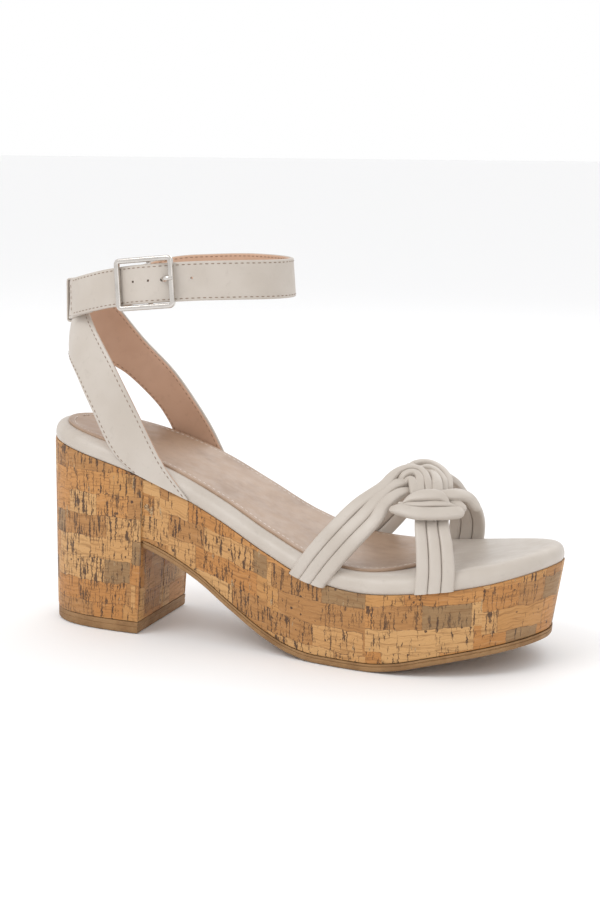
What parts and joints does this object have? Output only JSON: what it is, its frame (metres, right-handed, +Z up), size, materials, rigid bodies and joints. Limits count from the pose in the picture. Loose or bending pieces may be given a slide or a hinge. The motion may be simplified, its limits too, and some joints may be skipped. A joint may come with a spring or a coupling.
{
  "type": "platform block-heel sandal",
  "caption": "Right-foot platform sandal: block heel and platform wrapped in cork, padded footbed, knotted strand vamp, sling and a buckled ankle strap that tilts.",
  "frame": {"origin": "on the floor, under the middle of the sandal's overall length and width", "axes": "+X from heel to toe, +Y towards the inner side of the foot, +Z up"},
  "size_m": [0.2265, 0.0884, 0.1605],
  "materials": {
    "cream_leather": "smooth synthetic leather, soft sheen",
    "tan_lining": "matt synthetic lining",
    "cork": "matt cork sheet",
    "tan_rubber": "matt rubber",
    "foam": "matt foam padding",
    "foam_core": "moulded foam",
    "heel_plastic": "moulded plastic",
    "fibre_board": "pressed fibre board",
    "steel": "plain steel",
    "nickel": "polished nickel plate"
  },
  "bodies": {
    "sandal": {"outsole": "tan_rubber", "platform_core": "foam_core", "heel_block": "heel_plastic", "heel_tip": "tan_rubber", "heel_tip_dowel_1": "steel", "heel_tip_dowel_2": "steel", "heel_screw": "steel", "heel_nail_1": "steel", "heel_nail_2": "steel", "heel_nail_3": "steel", "heel_nail_4": "steel", "shank": "steel", "cork_wrap_outer": "cork", "cork_wrap_inner": "cork", "cork_breast_outer": "cork", "cork_breast_inner": "cork", "insole_board": "fibre_board", "footbed_foam": "foam", "footbed_cover": "cream_leather", "sock_lining": "tan_lining", "vamp_outer_strand_1": "cream_leather", "vamp_outer_strand_2": "cream_leather", "vamp_outer_strand_3": "cream_leather", "vamp_inner_strand_1": "cream_leather", "vamp_inner_strand_2": "cream_leather", "vamp_inner_strand_3": "cream_leather", "knot_wrap_strand_1": "cream_leather", "knot_wrap_strand_2": "cream_leather", "knot_wrap_strand_3": "cream_leather", "sling_strap": "cream_leather", "sling_lining": "tan_lining", "strap_sleeve": "cream_leather"},
    "ankle_strap": {"ankle_strap": "cream_leather", "ankle_strap_lining": "tan_lining", "buckle_chape": "cream_leather"},
    "buckle": {"buckle_frame": "nickel"},
    "prong": {"buckle_prong": "nickel"}
  },
  "joints": [
    {"name": "ankle_strap_tilt", "type": "hinge", "parent": "sandal", "child": "ankle_strap", "pos_m": [-0.1049, 0, 0.1377], "axis": [0, 1, 0], "range_deg": [-3, 3]},
    {"name": "buckle_swing", "type": "hinge", "parent": "ankle_strap", "child": "buckle", "pos_m": [-0.0553, -0.0285, 0.1483], "axis": [-0.1012, 0.0698, 0.9924], "range_deg": [-1, 3]},
    {"name": "prong_swing", "type": "hinge", "parent": "buckle", "child": "prong", "pos_m": [-0.0553, -0.0285, 0.1483], "axis": [0.1012, -0.0698, -0.9924], "range_deg": [0, 14]}
  ]
}
